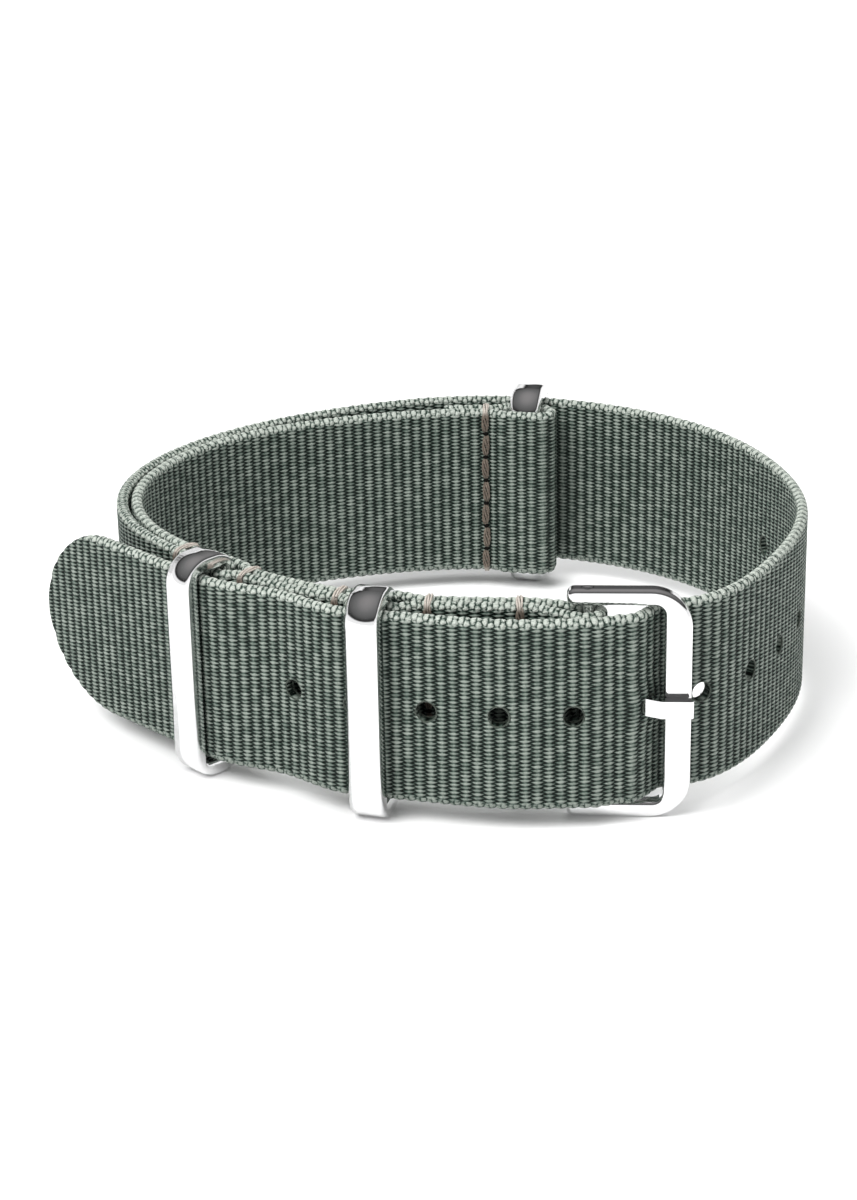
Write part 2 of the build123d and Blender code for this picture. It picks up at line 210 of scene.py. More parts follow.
class StrapColours(bpy.types.PropertyGroup):
    """Colours of the webbing, the thread, the steel and the floor."""

    # Painted highlight: the colour of the yarns' crests stands in for the light that falls on them.
    web_crest_highlight: bpy.props.FloatVectorProperty(
        name="Webbing light", description="Crest of a yarn", default=(0.275, 0.31, 0.275),
        size=3, subtype="COLOR",
    )
    web_mid: bpy.props.FloatVectorProperty(
        name="Webbing middle", description="Flank of a yarn", default=(0.047, 0.077, 0.061),
        size=3, subtype="COLOR",
    )
    # Painted shade: the near-black between the ribs stands in for the shade in their valleys.
    web_gap_shade: bpy.props.FloatVectorProperty(
        name="Webbing dark", description="Gap between ribs", default=(0.005, 0.009, 0.007),
        size=3, subtype="COLOR",
    )
    # Painted highlight: the pale colour that only the upper edge's knots take, standing in for the light from
    # above.
    selvedge_highlight: bpy.props.FloatVectorProperty(
        name="Selvedge", description="Knots of the worn upper edge", default=(0.47, 0.51, 0.46),
        size=3, subtype="COLOR",
    )
    melted: bpy.props.FloatVectorProperty(
        name="Melted rim", description="Sealed rim of a hole", default=(0.10, 0.125, 0.10),
        size=3, subtype="COLOR",
    )
    thread: bpy.props.FloatVectorProperty(
        name="Thread", description="Sewing thread", default=(0.155, 0.125, 0.10),
        size=3, subtype="COLOR",
    )
    steel: bpy.props.FloatVectorProperty(
        name="Steel", description="Polished steel", default=(0.88, 0.88, 0.885),
        size=3, subtype="COLOR",
    )
    floor: bpy.props.FloatVectorProperty(
        name="Floor", description="Studio floor", default=(0.93, 0.93, 0.93),
        size=3, subtype="COLOR",
    )


def loop_spots():
    """Even points of the smooth closed curve through the listed shares, and its length."""
    corners = np.array(LOOP_SHARES) * (LOOP_WIDTH / 2, LOOP_DEPTH / 2)
    closed = np.vstack([corners, corners[:1]])
    spans = np.hypot(*np.diff(closed, axis=0).T)
    slopes = np.diff(closed, axis=0) / spans[:, None]
    count = len(corners)
    matrix = np.zeros((count, count))
    for k in range(count):
        matrix[k, k - 1] += spans[k - 1]
        matrix[k, k] += 2 * (spans[k - 1] + spans[k])
        matrix[k, (k + 1) % count] += spans[k]
    bends = np.linalg.solve(matrix, 6 * (slopes - np.roll(slopes, 1, axis=0)))
    curve = []
    for k in range(count):
        ahead = np.arange(0, 1, LOOP_STEP / spans[k] / 2)[:, None]
        behind = 1 - ahead
        start, end = bends[k], bends[(k + 1) % count]
        bow = (behind**3 - behind) * start + (ahead**3 - ahead) * end
        curve.append(behind * closed[k] + ahead * closed[k + 1] + bow * spans[k] ** 2 / 6)
    curve = np.vstack(curve + [closed[:1]])
    walked = np.concatenate([[0], np.cumsum(np.hypot(*np.diff(curve, axis=0).T))])
    even = np.linspace(0, walked[-1], round(walked[-1] / LOOP_STEP), endpoint=False)
    spots = np.stack([np.interp(even, walked, curve[:, axis]) for axis in (0, 1)], axis=1)
    return spots, walked[-1]


SPOTS, LOOP_LENGTH = loop_spots()


def spot(reach):
    """Points of the loop at the given lengths of webbing from the pin."""
    place = (np.asarray(reach, float) % LOOP_LENGTH) / LOOP_LENGTH * len(SPOTS)
    index = place.astype(int)
    share = (place - index)[..., None]
    return SPOTS[index % len(SPOTS)] * (1 - share) + SPOTS[(index + 1) % len(SPOTS)] * share


def unit(ways):
    """The same directions, each as long as 1."""
    return ways / np.linalg.norm(ways, axis=-1, keepdims=True)


def tangent(reach):
    """Direction of the loop, walking left from the pin."""
    return unit(spot(np.asarray(reach) + TANGENT_REACH) - spot(np.asarray(reach) - TANGENT_REACH))


def outward(way):
    """The direction square to a way, away from the wrist when the way leads left."""
    return np.stack([-way[..., 1], way[..., 0]], axis=-1)


def beside(reach, offset):
    """Points beside the loop, in plan."""
    return spot(reach) + outward(tangent(reach)) * np.asarray(offset)[..., None]


def eased(stations, reach):
    """Offsets between listed stations, level at each of them."""
    reaches, offsets = np.array(stations).T
    place = np.clip(np.searchsorted(reaches, reach), 1, len(reaches) - 1)
    share = np.clip((reach - reaches[place - 1]) / (reaches[place] - reaches[place - 1]), 0, 1)
    return offsets[place - 1] + (offsets[place] - offsets[place - 1]) * share * share * (3 - 2 * share)


def both_pockets(base, rise):
    """Stations of one layer over both keeper pockets."""
    stations = []
    for pocket, length, keeper in POCKETS:
        seam = length / 2 - HALF_STITCH
        stations += [
            (pocket - seam, base),
            (keeper - KEEPER_LEVEL, base + rise),
            (keeper + KEEPER_LEVEL, base + rise),
            (pocket + seam, base),
        ]
    return stations


def long_stations():
    """Offsets of the long leg and of the tail."""
    bar = LOOP_LENGTH - BAR_START
    grip = RING_HALF_WIDTH + KEEPER_TRAVEL
    first, second = POCKETS[0][2], POCKETS[1][2]
    return [
        (0.0, PIN_STAND_OFF + PIN_WRAP),
        (FOLD_SEAM - HALF_STITCH, 0.0),
        *both_pockets(0.0, POCKET_RISE - POCKET_RISE_IN),
        (bar - 2 * BAR_WIDTH, 0.0),
        (bar - METAL_PLAY, TAIL_BAR_OFFSET),
        (bar + BAR_START / 2, TAIL_PIN_OFFSET - TAIL_DIP),
        (LOOP_LENGTH, TAIL_PIN_OFFSET),
        (LOOP_LENGTH + FOLD_SEAM, TAIL_PIN_OFFSET + TAIL_BULGE),
        (LOOP_LENGTH + first - grip, TAIL_RING_OFFSET),
        (LOOP_LENGTH + first + grip, TAIL_RING_OFFSET),
        (LOOP_LENGTH + (first + second) / 2, TAIL_RING_OFFSET - TAIL_SAG),
        (LOOP_LENGTH + second - grip, TAIL_RING_OFFSET),
    ]


def short_stations():
    """Offsets of the short leg."""
    sewn = REAR_BAR_OFFSET - SEWN_PITCH / 2
    return [
        (0.0, PIN_STAND_OFF - PIN_WRAP),
        (FOLD_SEAM - HALF_STITCH, -SEWN_PITCH),
        *both_pockets(-SEWN_PITCH, -POCKET_RISE_IN),
        (POCKETS[1][0] + 2 * POCKETS[1][1], -LOOSE_PITCH),
        (REAR_SEAM - REAR_RAMP, -LOOSE_PITCH),
        (REAR_SEAM - HALF_STITCH, sewn),
        (REAR_SEAM + HALF_STITCH, sewn),
        (REAR_RING - RING_HALF_WIDTH, REAR_BAR_OFFSET - BAR_WRAP),
    ]


def flap_offset(reach):
    """Offsets of the folded end outside the short leg."""
    sewn = eased(short_stations(), np.minimum(reach, REAR_SEAM)) + SEWN_PITCH
    spread = [(REAR_SEAM + HALF_STITCH, 0.0), (REAR_RING - RING_HALF_WIDTH, BAR_WRAP - SEWN_PITCH / 2)]
    return sewn + eased(spread, reach)


def half_turn(centre, normal, ahead, radius):
    """Points of half a turn round a bar, from its outer side to its inner side."""
    angles = np.linspace(0, pi, TURN_POINTS)[1:-1, None]
    return centre + normal * radius * np.cos(angles) + ahead * radius * np.sin(angles)


def webbing_line():
    """The middle line of the webbing from folded end to tip, in plan."""
    normal, way = outward(tangent(REAR_RING)), tangent(REAR_RING)
    flap_reach = np.arange(REAR_SEAM - REAR_FLAP, REAR_RING, LOOP_STEP)
    short_reach = np.arange(REAR_RING, 0, -LOOP_STEP)
    long_end = LOOP_LENGTH + POCKETS[1][2] + KEEPER_TRAVEL
    long_reach = np.arange(0, long_end, LOOP_STEP)
    turn_middle = beside(REAR_RING, REAR_BAR_OFFSET) + way * BAR_STRAIGHT
    ring_turn = half_turn(turn_middle, normal, way, BAR_WRAP)
    pin = beside(0.0, PIN_STAND_OFF)
    pin_turn = half_turn(pin, outward(tangent(0.0)), -tangent(0.0), PIN_WRAP)[::-1]
    short_leg = beside(short_reach, eased(short_stations(), short_reach))
    long_leg = beside(long_reach, eased(long_stations(), long_reach))
    last = long_leg[-1] - long_leg[-5]
    last /= np.linalg.norm(last)
    tail = long_leg[-1] + last * np.arange(LOOP_STEP, TAIL_FREE, LOOP_STEP)[:, None]
    flap = beside(flap_reach, flap_offset(flap_reach))
    return np.vstack([flap, ring_turn, short_leg, pin_turn, long_leg, tail])


def resampled(line, step):
    """The same line with even steps, its directions and how far along each point lies."""
    walked = np.concatenate([[0], np.cumsum(np.hypot(*np.diff(line, axis=0).T))])
    count = round(walked[-1] / step)
    even = np.linspace(0, walked[-1], count + 1)
    points = np.stack([np.interp(even, walked, line[:, axis]) for axis in (0, 1)], axis=1)
    way = np.gradient(points, axis=0)
    padded = np.pad(way, ((SMOOTH_ROWS, SMOOTH_ROWS), (0, 0)), mode="edge")
    way = unit(sum(padded[k : k + len(way)] for k in range(2 * SMOOTH_ROWS + 1)))
    return points, way, even


LINE = webbing_line()


def plan_shift():
    """From the loop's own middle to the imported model's, found from the webbing's box in both."""
    points, way, _ = resampled(LINE, LOOP_STEP)
    sides = np.vstack([points + outward(way) * HALF_WEB, points - outward(way) * HALF_WEB])
    low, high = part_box("webbing")
    packed = np.array([low[:2], high[:2]]) / MM
    return packed.mean(axis=0) - (sides.min(axis=0) + sides.max(axis=0)) / 2


SHIFT = plan_shift()


def in_metres(plan, heights):
    """Plan points in millimetres and their heights as points of the frame."""
    plan = np.asarray(plan) + SHIFT
    return np.column_stack([plan, heights]) * MM


def new_piece(name, points, faces, body, node_names, material):
    """A smooth mesh piece that rides on a body and stands for nodes of the solid model."""
    mesh = bpy.data.meshes.new(name)
    mesh.vertices.add(len(points))
    mesh.vertices.foreach_set("co", np.asarray(points, np.float32).ravel())
    faces = np.asarray(faces, np.int32)
    sides = faces.shape[1]
    mesh.loops.add(faces.size)
    mesh.loops.foreach_set("vertex_index", faces.ravel())
    mesh.polygons.add(len(faces))
    mesh.polygons.foreach_set("loop_start", np.arange(0, faces.size, sides, dtype=np.int32))
    mesh.polygons.foreach_set("use_smooth", np.ones(len(faces), bool))
    mesh.update(calc_edges=True)
    mesh.validate()
    mesh.materials.append(material)
    piece = bpy.data.objects.new(name, mesh)
    bpy.context.scene.collection.objects.link(piece)
    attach(piece, body)
    if node_names:
        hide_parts(*node_names)
    return piece


def new_material(name, roughness=0.5, specular=0.5):
    """A material whose tree holds only its shader and its output, joined."""
    material = bpy.data.materials.new(name)
    material.use_nodes = True
    tree = material.node_tree
    tree.nodes.clear()
    shader = tree.nodes.new("ShaderNodeBsdfPrincipled")
    shader.inputs["Roughness"].default_value = roughness
    shader.inputs["Specular IOR Level"].default_value = specular
    output = tree.nodes.new("ShaderNodeOutputMaterial")
    tree.links.new(shader.outputs["BSDF"], output.inputs["Surface"])
    return material, tree, shader


def number(tree, operation, first, second=0.0):
    """One step of arithmetic between sockets or plain numbers."""
    node = tree.nodes.new("ShaderNodeMath")
    node.operation = operation
    for place, value in enumerate((first, second)):
        if isinstance(value, bpy.types.NodeSocket):
            tree.links.new(value, node.inputs[place])
        else:
            node.inputs[place].default_value = value
    return node.outputs[0]


def mixed(tree, share, first, second):
    """A colour between two, each a socket or a plain colour."""
    node = tree.nodes.new("ShaderNodeMix")
    node.data_type = "RGBA"
    tree.links.new(share, node.inputs["Factor"])
    for socket, value in ((node.inputs[6], first), (node.inputs[7], second)):
        if isinstance(value, bpy.types.NodeSocket):
            tree.links.new(value, socket)
        else:
            socket.default_value = (*value, 1)
    return node.outputs[2]


def attribute(tree, name):
    """A number stored on the mesh."""
    node = tree.nodes.new("ShaderNodeAttribute")
    node.attribute_name = name
    return node.outputs["Fac"]


def times(tree, first, second):
    """Two numbers multiplied."""
    return number(tree, "MULTIPLY", first, second)


def plus(tree, first, second):
    """Two numbers added."""
    return number(tree, "ADD", first, second)


def minus(tree, first, second):
    """The second number taken from the first."""
    return number(tree, "SUBTRACT", first, second)


def toned(colour, factor):
    """A plain colour made darker or lighter."""
    return tuple(factor * part for part in colour)


def bumped(tree, shader, height, strength, distance):
    """Roughens a shader by a height."""
    node = tree.nodes.new("ShaderNodeBump")
    node.inputs["Strength"].default_value = strength
    node.inputs["Distance"].default_value = distance
    tree.links.new(height, node.inputs["Height"])
    tree.links.new(node.outputs["Normal"], shader.inputs["Normal"])


def noise(tree, scale, detail=2.0):
    """Soft random patches in the piece's own space."""
    place = tree.nodes.new("ShaderNodeTexCoord")
    node = tree.nodes.new("ShaderNodeTexNoise")
    node.inputs["Scale"].default_value = scale
    node.inputs["Detail"].default_value = detail
    tree.links.new(place.outputs["Object"], node.inputs["Vector"])
    return node.outputs["Fac"]


def cosine(tree, value, turn):
    """A wave that a value drives, with the given turn for each whole step."""
    return number(tree, "COSINE", times(tree, value, turn))


def clamped(tree, value):
    """A number held between 0 and 1."""
    node = tree.nodes.new("ShaderNodeClamp")
    tree.links.new(value, node.inputs["Value"])
    return node.outputs["Result"]


def blended(tree, share, first, second):
    """A number between two others."""
    return plus(tree, first, times(tree, share, minus(tree, second, first)))


def squared_from_middle(tree, share):
    """0 in the middle of a cell and 1 at both its borders."""
    doubled = minus(tree, times(tree, share, 2.0), 1.0)
    return times(tree, doubled, doubled)


def brick(tree, row):
    """Half a step aside in every second row."""
    return times(tree, number(tree, "PINGPONG", row, 1.0), 0.5)


def edge_knots(tree, ribs, from_edge):
    """Heights of the ragged knots along the webbing's edges."""
    along = times(tree, ribs, KNOTS_PER_RIB)
    aside = brick(tree, number(tree, "FLOOR", along))
    over = plus(tree, times(tree, from_edge, KNOTS_PER_MM), aside)
    falls = [squared_from_middle(tree, number(tree, "FRACT", place)) for place in (along, over)]
    knot = minus(tree, KNOT_TOP, times(tree, plus(tree, *falls), KNOT_FALL))
    ragged = times(tree, noise(tree, scale=6000.0), KNOT_RAGGED)
    return plus(tree, knot, minus(tree, ragged, KNOT_RAGGED / 2))


def woven_material(sizes, colours):
    """Crosswise ribs of stacked yarns, each yarn a little lighter or darker than the next."""
    material, tree, shader = new_material("Woven webbing", roughness=0.62, specular=0.3)
    across = attribute(tree, "across")
    straight = number(tree, "DIVIDE", attribute(tree, "along"), sizes.rib_pitch / MM)
    yarns = number(tree, "DIVIDE", across, sizes.grain_pitch / MM)
    sway = times(tree, cosine(tree, yarns, 2 * pi), cosine(tree, straight, pi))
    place = plus(tree, straight, times(tree, sway, RIB_SWAY))
    rib, rib_share = number(tree, "FLOOR", place), number(tree, "FRACT", place)
    lean = times(tree, minus(tree, rib_share, 0.5), YARN_LEAN)
    yarns = plus(tree, plus(tree, plus(tree, yarns, 0.5), brick(tree, rib)), lean)
    rib_fall = squared_from_middle(tree, rib_share)
    rib_fall = times(tree, rib_fall, plus(tree, RIB_FALL, times(tree, rib_fall, RIB_FALL_GAIN)))
    yarn_fall = squared_from_middle(tree, number(tree, "FRACT", yarns))
    yarn_fall = times(tree, yarn_fall, plus(tree, YARN_FALL, times(tree, rib_fall, YARN_FALL_GAIN)))
    height = minus(tree, 1.0, plus(tree, rib_fall, yarn_fall))
    knots_from = sizes.web_width / MM / 2 - KNOT_ZONE
    from_edge = minus(tree, number(tree, "ABSOLUTE", across), knots_from)
    edge = clamped(tree, times(tree, from_edge, KNOT_ZONE_SLOPE))
    height = blended(tree, edge, height, edge_knots(tree, straight, from_edge))
    pair = tree.nodes.new("ShaderNodeCombineXYZ")
    tree.links.new(rib, pair.inputs["X"])
    tree.links.new(number(tree, "FLOOR", yarns), pair.inputs["Y"])
    random = tree.nodes.new("ShaderNodeTexWhiteNoise")
    random.noise_dimensions = "2D"
    tree.links.new(pair.outputs["Vector"], random.inputs["Vector"])
    change = times(tree, minus(tree, random.outputs["Value"], 0.5), YARN_CHANGE)
    patches = times(tree, minus(tree, noise(tree, scale=3500.0), 0.5), PATCH_CHANGE)
    level = plus(tree, plus(tree, height, change), patches)
    # Tones by height: painted shade in the valleys and between yarns, painted highlights on the crests.
    low = clamped(tree, times(tree, plus(tree, level, LOW_TONE_FROM), LOW_TONE_SLOPE))
    high = clamped(tree, times(tree, minus(tree, level, HIGH_TONE_FROM), HIGH_TONE_SLOPE))
    dark = mixed(tree, low, colours.web_gap_shade, colours.web_mid)
    # Painted highlight: only the upper edge's knots are made paler, for the light from above; the lower edge
    # keeps the plain crest colour.
    highlighted = times(tree, edge, clamped(tree, plus(tree, across, 0.5)))
    light = mixed(tree, highlighted, colours.web_crest_highlight, colours.selvedge_highlight)
    tree.links.new(mixed(tree, high, dark, light), shader.inputs["Base Color"])
    bumped(tree, shader, height, strength=0.9, distance=0.00022)
    return material


def melted_material(colours):
    """Webbing sealed by heat at the rim of a hole."""
    material, tree, shader = new_material("Melted rim", roughness=0.6)
    patches = noise(tree, scale=6000.0)
    dark = toned(colours.melted, 0.12)
    tree.links.new(mixed(tree, patches, dark, colours.melted), shader.inputs["Base Color"])
    bumped(tree, shader, patches, strength=0.8, distance=0.0002)
    return material


def needle_hole_shade_material():
    """Painted shade: the near-black colour of the hole that the needle leaves, standing in for the shadow in
    it.
    """
    material, tree, shader = new_material("Needle hole shade", roughness=0.9, specular=0.0)
    black, brown = (0.004, 0.004, 0.004), (0.012, 0.011, 0.01)
    tree.links.new(mixed(tree, noise(tree, scale=5000.0), black, brown), shader.inputs["Base Color"])
    return material


def thread_material(sizes, colours):
    """Fine fibres, paler where the thread turns over the webbing's edges."""
    material, tree, shader = new_material("Sewing thread", roughness=0.65)
    place = tree.nodes.new("ShaderNodeTexCoord")
    parts = tree.nodes.new("ShaderNodeSeparateXYZ")
    tree.links.new(place.outputs["Object"], parts.inputs["Vector"])
    rise = minus(tree, number(tree, "DIVIDE", parts.outputs["Z"], MM), MID_HEIGHT)
    pale_from = sizes.web_width / MM / 2 - THREAD_PALE_ZONE
    rise = minus(tree, number(tree, "ABSOLUTE", rise), pale_from)
    pale = clamped(tree, times(tree, rise, THREAD_PALE_SLOPE))
    patches = noise(tree, scale=5000.0, detail=4.0)
    brown = mixed(tree, patches, toned(colours.thread, 0.2), toned(colours.thread, 1.8))
    cream = (0.62, 0.585, 0.54)
    beige = mixed(tree, patches, toned(colours.thread, 1.6), cream)
    tree.links.new(mixed(tree, pale, brown, beige), shader.inputs["Base Color"])
    bumped(tree, shader, patches, strength=0.6, distance=0.00005)
    return material


def steel_material(colours, name, way=None, middle=0.0):
    """Polished steel with faint unevenness, softly domed across a band's width where a way is given."""
    material, tree, shader = new_material(name)
    patches = noise(tree, scale=900.0)
    low = toned(colours.steel, 0.94)
    tree.links.new(mixed(tree, patches, low, colours.steel), shader.inputs["Base Color"])
    rough = plus(tree, times(tree, patches, ROUGHNESS_CHANGE), STEEL_ROUGHNESS)
    tree.links.new(rough, shader.inputs["Roughness"])
    shader.inputs["Metallic"].default_value = 1.0
    if way is not None:
        place = tree.nodes.new("ShaderNodeTexCoord")
        along = tree.nodes.new("ShaderNodeVectorMath")
        along.operation = "DOT_PRODUCT"
        tree.links.new(place.outputs["Object"], along.inputs[0])
        along.inputs[1].default_value = (*way, 0.0)
        aside = minus(tree, along.outputs["Value"], middle)
        dome = times(tree, times(tree, aside, aside), -BAND_DOME / MM)
        bumped(tree, shader, dome, strength=1.0, distance=1.0)
    return material


def tip_half_width(along, total, half_width):
    """Half the webbing's width, less towards the half-round tip."""
    into_tip = np.clip(along - (total - half_width), 0, half_width)
    return np.sqrt(np.maximum(half_width**2 - into_tip**2, TIP_BLUNTNESS * half_width))


def tongue_place():
    """Where the tongue passes through the tail, in plan."""
    rise = TONGUE_RISE_START + TONGUE_RISE_LENGTH * TONGUE_CROSSING_SHARE
    lift = TONGUE_RISE_HEIGHT * TONGUE_CROSSING_SHARE
    way, normal = -tangent(0.0), outward(tangent(0.0))
    tilt = radians(FRAME_TILT)
    along = way * cos(tilt) + normal * sin(tilt)
    square = normal * cos(tilt) - way * sin(tilt)
    return beside(0.0, PIN_STAND_OFF) + along * rise + square * lift


def hole_places(points, along):
    """How far along the webbing each hole lies, and how far its outer rim leans back."""
    middle = len(points) // 2
    near = middle + np.argmin(np.hypot(*(points[middle:] - tongue_place()).T))
    places = []
    for index in range(HOLE_COUNT):
        used = index == TONGUE_HOLE
        place = along[near] - (index - TONGUE_HOLE) * HOLE_PITCH + used * TONGUE_HOLE_ASIDE
        places.append((place, used * TONGUE_HOLE_LEAN))
    return places


def across_shares(half_width, edge):
    """Places across the webbing: close together at the rounded edges and at the row of holes."""
    hole_zone = np.linspace(-HOLE_ZONE, HOLE_ZONE, HOLE_ZONE_LINES)
    upper = np.linspace(HOLE_ZONE, half_width - edge, PLAIN_ZONE_LINES)[1:]
    rim = half_width - edge + edge * np.sin(np.linspace(0, pi / 2, EDGE_LINES)[1:])
    upper = np.concatenate([upper, rim])
    return np.concatenate([-upper[::-1], hole_zone, upper])


def open_hole(grid, along, across, keep, place, radius):
    """Takes the cells of one hole away and moves the cells' corners onto its rim."""
    ahead = along[:, None] - place
    reach = np.hypot(ahead, across[None, :])
    cell = (reach[:-1, :-1] + reach[1:, :-1] + reach[:-1, 1:] + reach[1:, 1:]) / 4
    gone = cell < radius
    keep &= ~gone
    touched = np.zeros(reach.shape, int)
    for rows in (slice(0, -1), slice(1, None)):
        for columns in (slice(0, -1), slice(1, None)):
            touched[rows, columns] += gone
    rim = (touched > 0) & (touched < 4)
    grow = np.where(rim, radius / np.maximum(reach, SMALLEST_REACH) - 1, 0.0)
    grid["along"] += grow * ahead
    grid["across"] += grow * across[None, :]


class STRAP_OT_webbing(bpy.types.Operator):
    """Weaves the one length of webbing along its folded path, with its tip, slot and holes."""

    bl_idname = "strap.webbing"
    bl_label = "Weave the webbing"

    def execute(self, context):
        sizes, colours = context.scene.strap_sizes, context.scene.strap_colours
        step = sizes.rib_pitch / MM / ROWS_PER_RIB
        points, way, along = resampled(LINE, step)
        half_width = sizes.web_width / MM / 2
        edge = sizes.edge_round / MM
        across = across_shares(half_width, edge)
        rows, columns = len(points), len(across)
        grid = {
            "along": np.repeat(along[:, None], columns, axis=1),
            "across": np.repeat(across[None, :], rows, axis=0),
        }
        keep = np.ones((rows - 1, columns - 1), bool)
        lean = np.zeros((rows, columns))
        for place, hole_lean in hole_places(points, along):
            open_hole(grid, along, across, keep, place, sizes.hole_diameter / MM / 2)
            away = np.hypot(along[:, None] - place, across[None, :]) / LEAN_REACH
            lean += hole_lean * np.clip(LEAN_FALL - LEAN_FALL * away, 0, 1)
        self.open_slot(keep, points, across)
        narrowing = tip_half_width(grid["along"], along[-1], half_width) / half_width
        grid["across"] = grid["across"] * narrowing
        normals = outward(way)[:, None, :]
        rib = np.abs(np.sin(pi * grid["along"] * MM / sizes.rib_pitch)) ** RIB_SQUARENESS
        bead = np.clip((np.abs(across) - (half_width - edge)) / edge, 0, 1)
        crown = np.maximum(np.sqrt(1 - bead**2), EDGE_THINNEST_SHARE)[None, :]
        depth = sizes.rib_depth / MM * (1 - rib)
        thick = (HALF_WEB - depth) * crown
        sunk = np.sign(grid["across"]) * bead * EDGE_WAVE * (1 - rib)
        heights = MID_HEIGHT + grid["across"] - sunk
        layers = []
        for side in (1, -1):
            leant = grid["along"] - side * lean
            plan = np.stack([np.interp(leant, along, points[:, axis]) for axis in (0, 1)], axis=-1)
            surface = plan + normals * (side * thick)[..., None]
            layers.append(in_metres(surface.reshape(-1, 2), heights.ravel()))
        faces = self.skin(keep, rows, columns)
        points_3d = np.vstack(layers)
        used, faces = np.unique(faces, return_inverse=True)
        faces = faces.reshape(-1, 4)
        material = woven_material(sizes, colours)
        piece = new_piece("woven_webbing", points_3d[used], faces, "strap", ["webbing"], material)
        for name in ("along", "across"):
            values = np.tile(grid[name].ravel(), 2)[used]
            stored = piece.data.attributes.new(name, "FLOAT", "POINT")
            stored.data.foreach_set("value", values.astype(np.float32))
        return {"FINISHED"}

    def open_slot(self, keep, points, across):
        """Takes away the cells where the tongue reaches the pin through the fold."""
        middle = beside(0.0, PIN_STAND_OFF)
        ahead, normal = -tangent(0.0), outward(tangent(0.0))
        reach = PIN_WRAP + HALF_WEB + SLOT_OVERRUN
        local_ahead = (points - middle) @ ahead
        local_square = (points - middle) @ normal
        inner = PIN_RADIUS + PIN_RUNNING_GAP + TONGUE_THICKNESS + TONGUE_SLOT_PLAY
        rows = (local_ahead > -inner) & (local_ahead < reach) & (np.abs(local_square) < reach)
        inside = np.abs(across) < SLOT_HALF_WIDTH
        cells = (rows[:-1] & rows[1:])[:, None] & (inside[:-1] & inside[1:])[None, :]
        keep &= ~cells

    def skin(self, keep, rows, columns):
        """The faces of both sides and of every edge between them, where cells are kept."""
        below = rows * columns
        index = np.arange(below).reshape(rows, columns)
        corner = (index[:-1, :-1], index[1:, :-1], index[1:, 1:], index[:-1, 1:])
        outer = np.stack([part[keep] for part in corner[::-1]], axis=1)
        inner = np.stack([part[keep] for part in corner], axis=1) + below
        faces = [outer, inner]
        full = np.pad(keep, 1)
        middle = full[1:-1, 1:-1]
        edges = (
            (full[1:-1, :-2], corner[0], corner[1]),
            (full[2:, 1:-1], corner[1], corner[2]),
            (full[1:-1, 2:], corner[2], corner[3]),
            (full[:-2, 1:-1], corner[3], corner[0]),
        )
        for neighbour, start, end in edges:
            bare = middle & ~neighbour
            first, second = start[bare], end[bare]
            faces.append(np.stack([first, second, second + below, first + below], axis=1))
        return np.vstack(faces)


def ring_ways(first, second, sides):
    """Directions all round a path at each of its points, from two that are square to it."""
    angles = np.linspace(0, 2 * pi, sides, endpoint=False)
    across, over = np.cos(angles)[None, :, None], np.sin(angles)[None, :, None]
    return across * first[:, None] + over * second[:, None]


def tube(path, radius, sides=6):
    """Points and faces of a closed tube round a path, given in millimetres of the frame."""
    path = np.asarray(path, float)
    way = unit(np.gradient(path, axis=0))
    slanted = (0.31, 0.53, 0.79)
    first = unit(np.cross(way, slanted))
    radius = np.broadcast_to(np.asarray(radius, float), (len(path),))
    ring = ring_ways(first, np.cross(way, first), sides)
    points = path[:, None] + ring * radius[:, None, None]
    index = np.arange(len(path) * sides).reshape(len(path), sides)
    turned = np.roll(index, -1, axis=1)
    faces = np.stack([index[:-1], turned[:-1], turned[1:], index[1:]], axis=-1).reshape(-1, 4)
    caps = []
    for ends in (index[0][::-1], index[-1]):
        for k in range(1, sides - 2, 2):
            caps.append([ends[0], ends[k], ends[k + 1], ends[k + 2]])
    return points.reshape(-1, 3), np.vstack([faces, caps])


def joined(parts):
    """Several lots of points and faces as one."""
    points, faces, count = [], [], 0
    for some_points, some_faces in parts:
        points.append(some_points)
        faces.append(some_faces + count)
        count += len(some_points)
    return np.vstack(points), np.vstack(faces)


def bundle(path, square, strands, half_width, radius, turns, start):
    """Strands that lie side by side along a path as a flat, slightly turned band."""
    path = np.asarray(path, float)
    way = unit(np.gradient(path, axis=0))
    sideways = unit(np.cross(way, square))
    flat = np.cross(sideways, way)
    share = np.linspace(0, 1, len(path))
    narrow = BUNDLE_END_SHARE + (1 - BUNDLE_END_SHARE) * np.sin(pi * share) ** 0.5
    parts = []
    for k in range(strands):
        turn = start + 2 * pi * (k / strands + turns * share)
        aside = half_width * narrow * np.cos(turn)
        lift = radius * STRAND_LIFT * np.sin(turn)
        strand = path + sideways * aside[:, None] + flat * lift[:, None]
        parts.append(tube(strand, radius, STRAND_SIDES))
    return parts


SEAMS = [
    ("fold_seam", FOLD_SEAM, -SEWN_PITCH / 2),
    ("pocket_one_near_seam", POCKETS[0][0] - POCKETS[0][1] / 2, -SEWN_PITCH / 2),
    ("pocket_one_far_seam", POCKETS[0][0] + POCKETS[0][1] / 2, -SEWN_PITCH / 2),
    ("pocket_two_near_seam", POCKETS[1][0] - POCKETS[1][1] / 2, -SEWN_PITCH / 2),
    ("pocket_two_far_seam", POCKETS[1][0] + POCKETS[1][1] / 2, -SEWN_PITCH / 2),
    ("rear_seam", REAR_SEAM, REAR_BAR_OFFSET),
]
SEWN_FACE = SEWN_PITCH / 2 + HALF_WEB


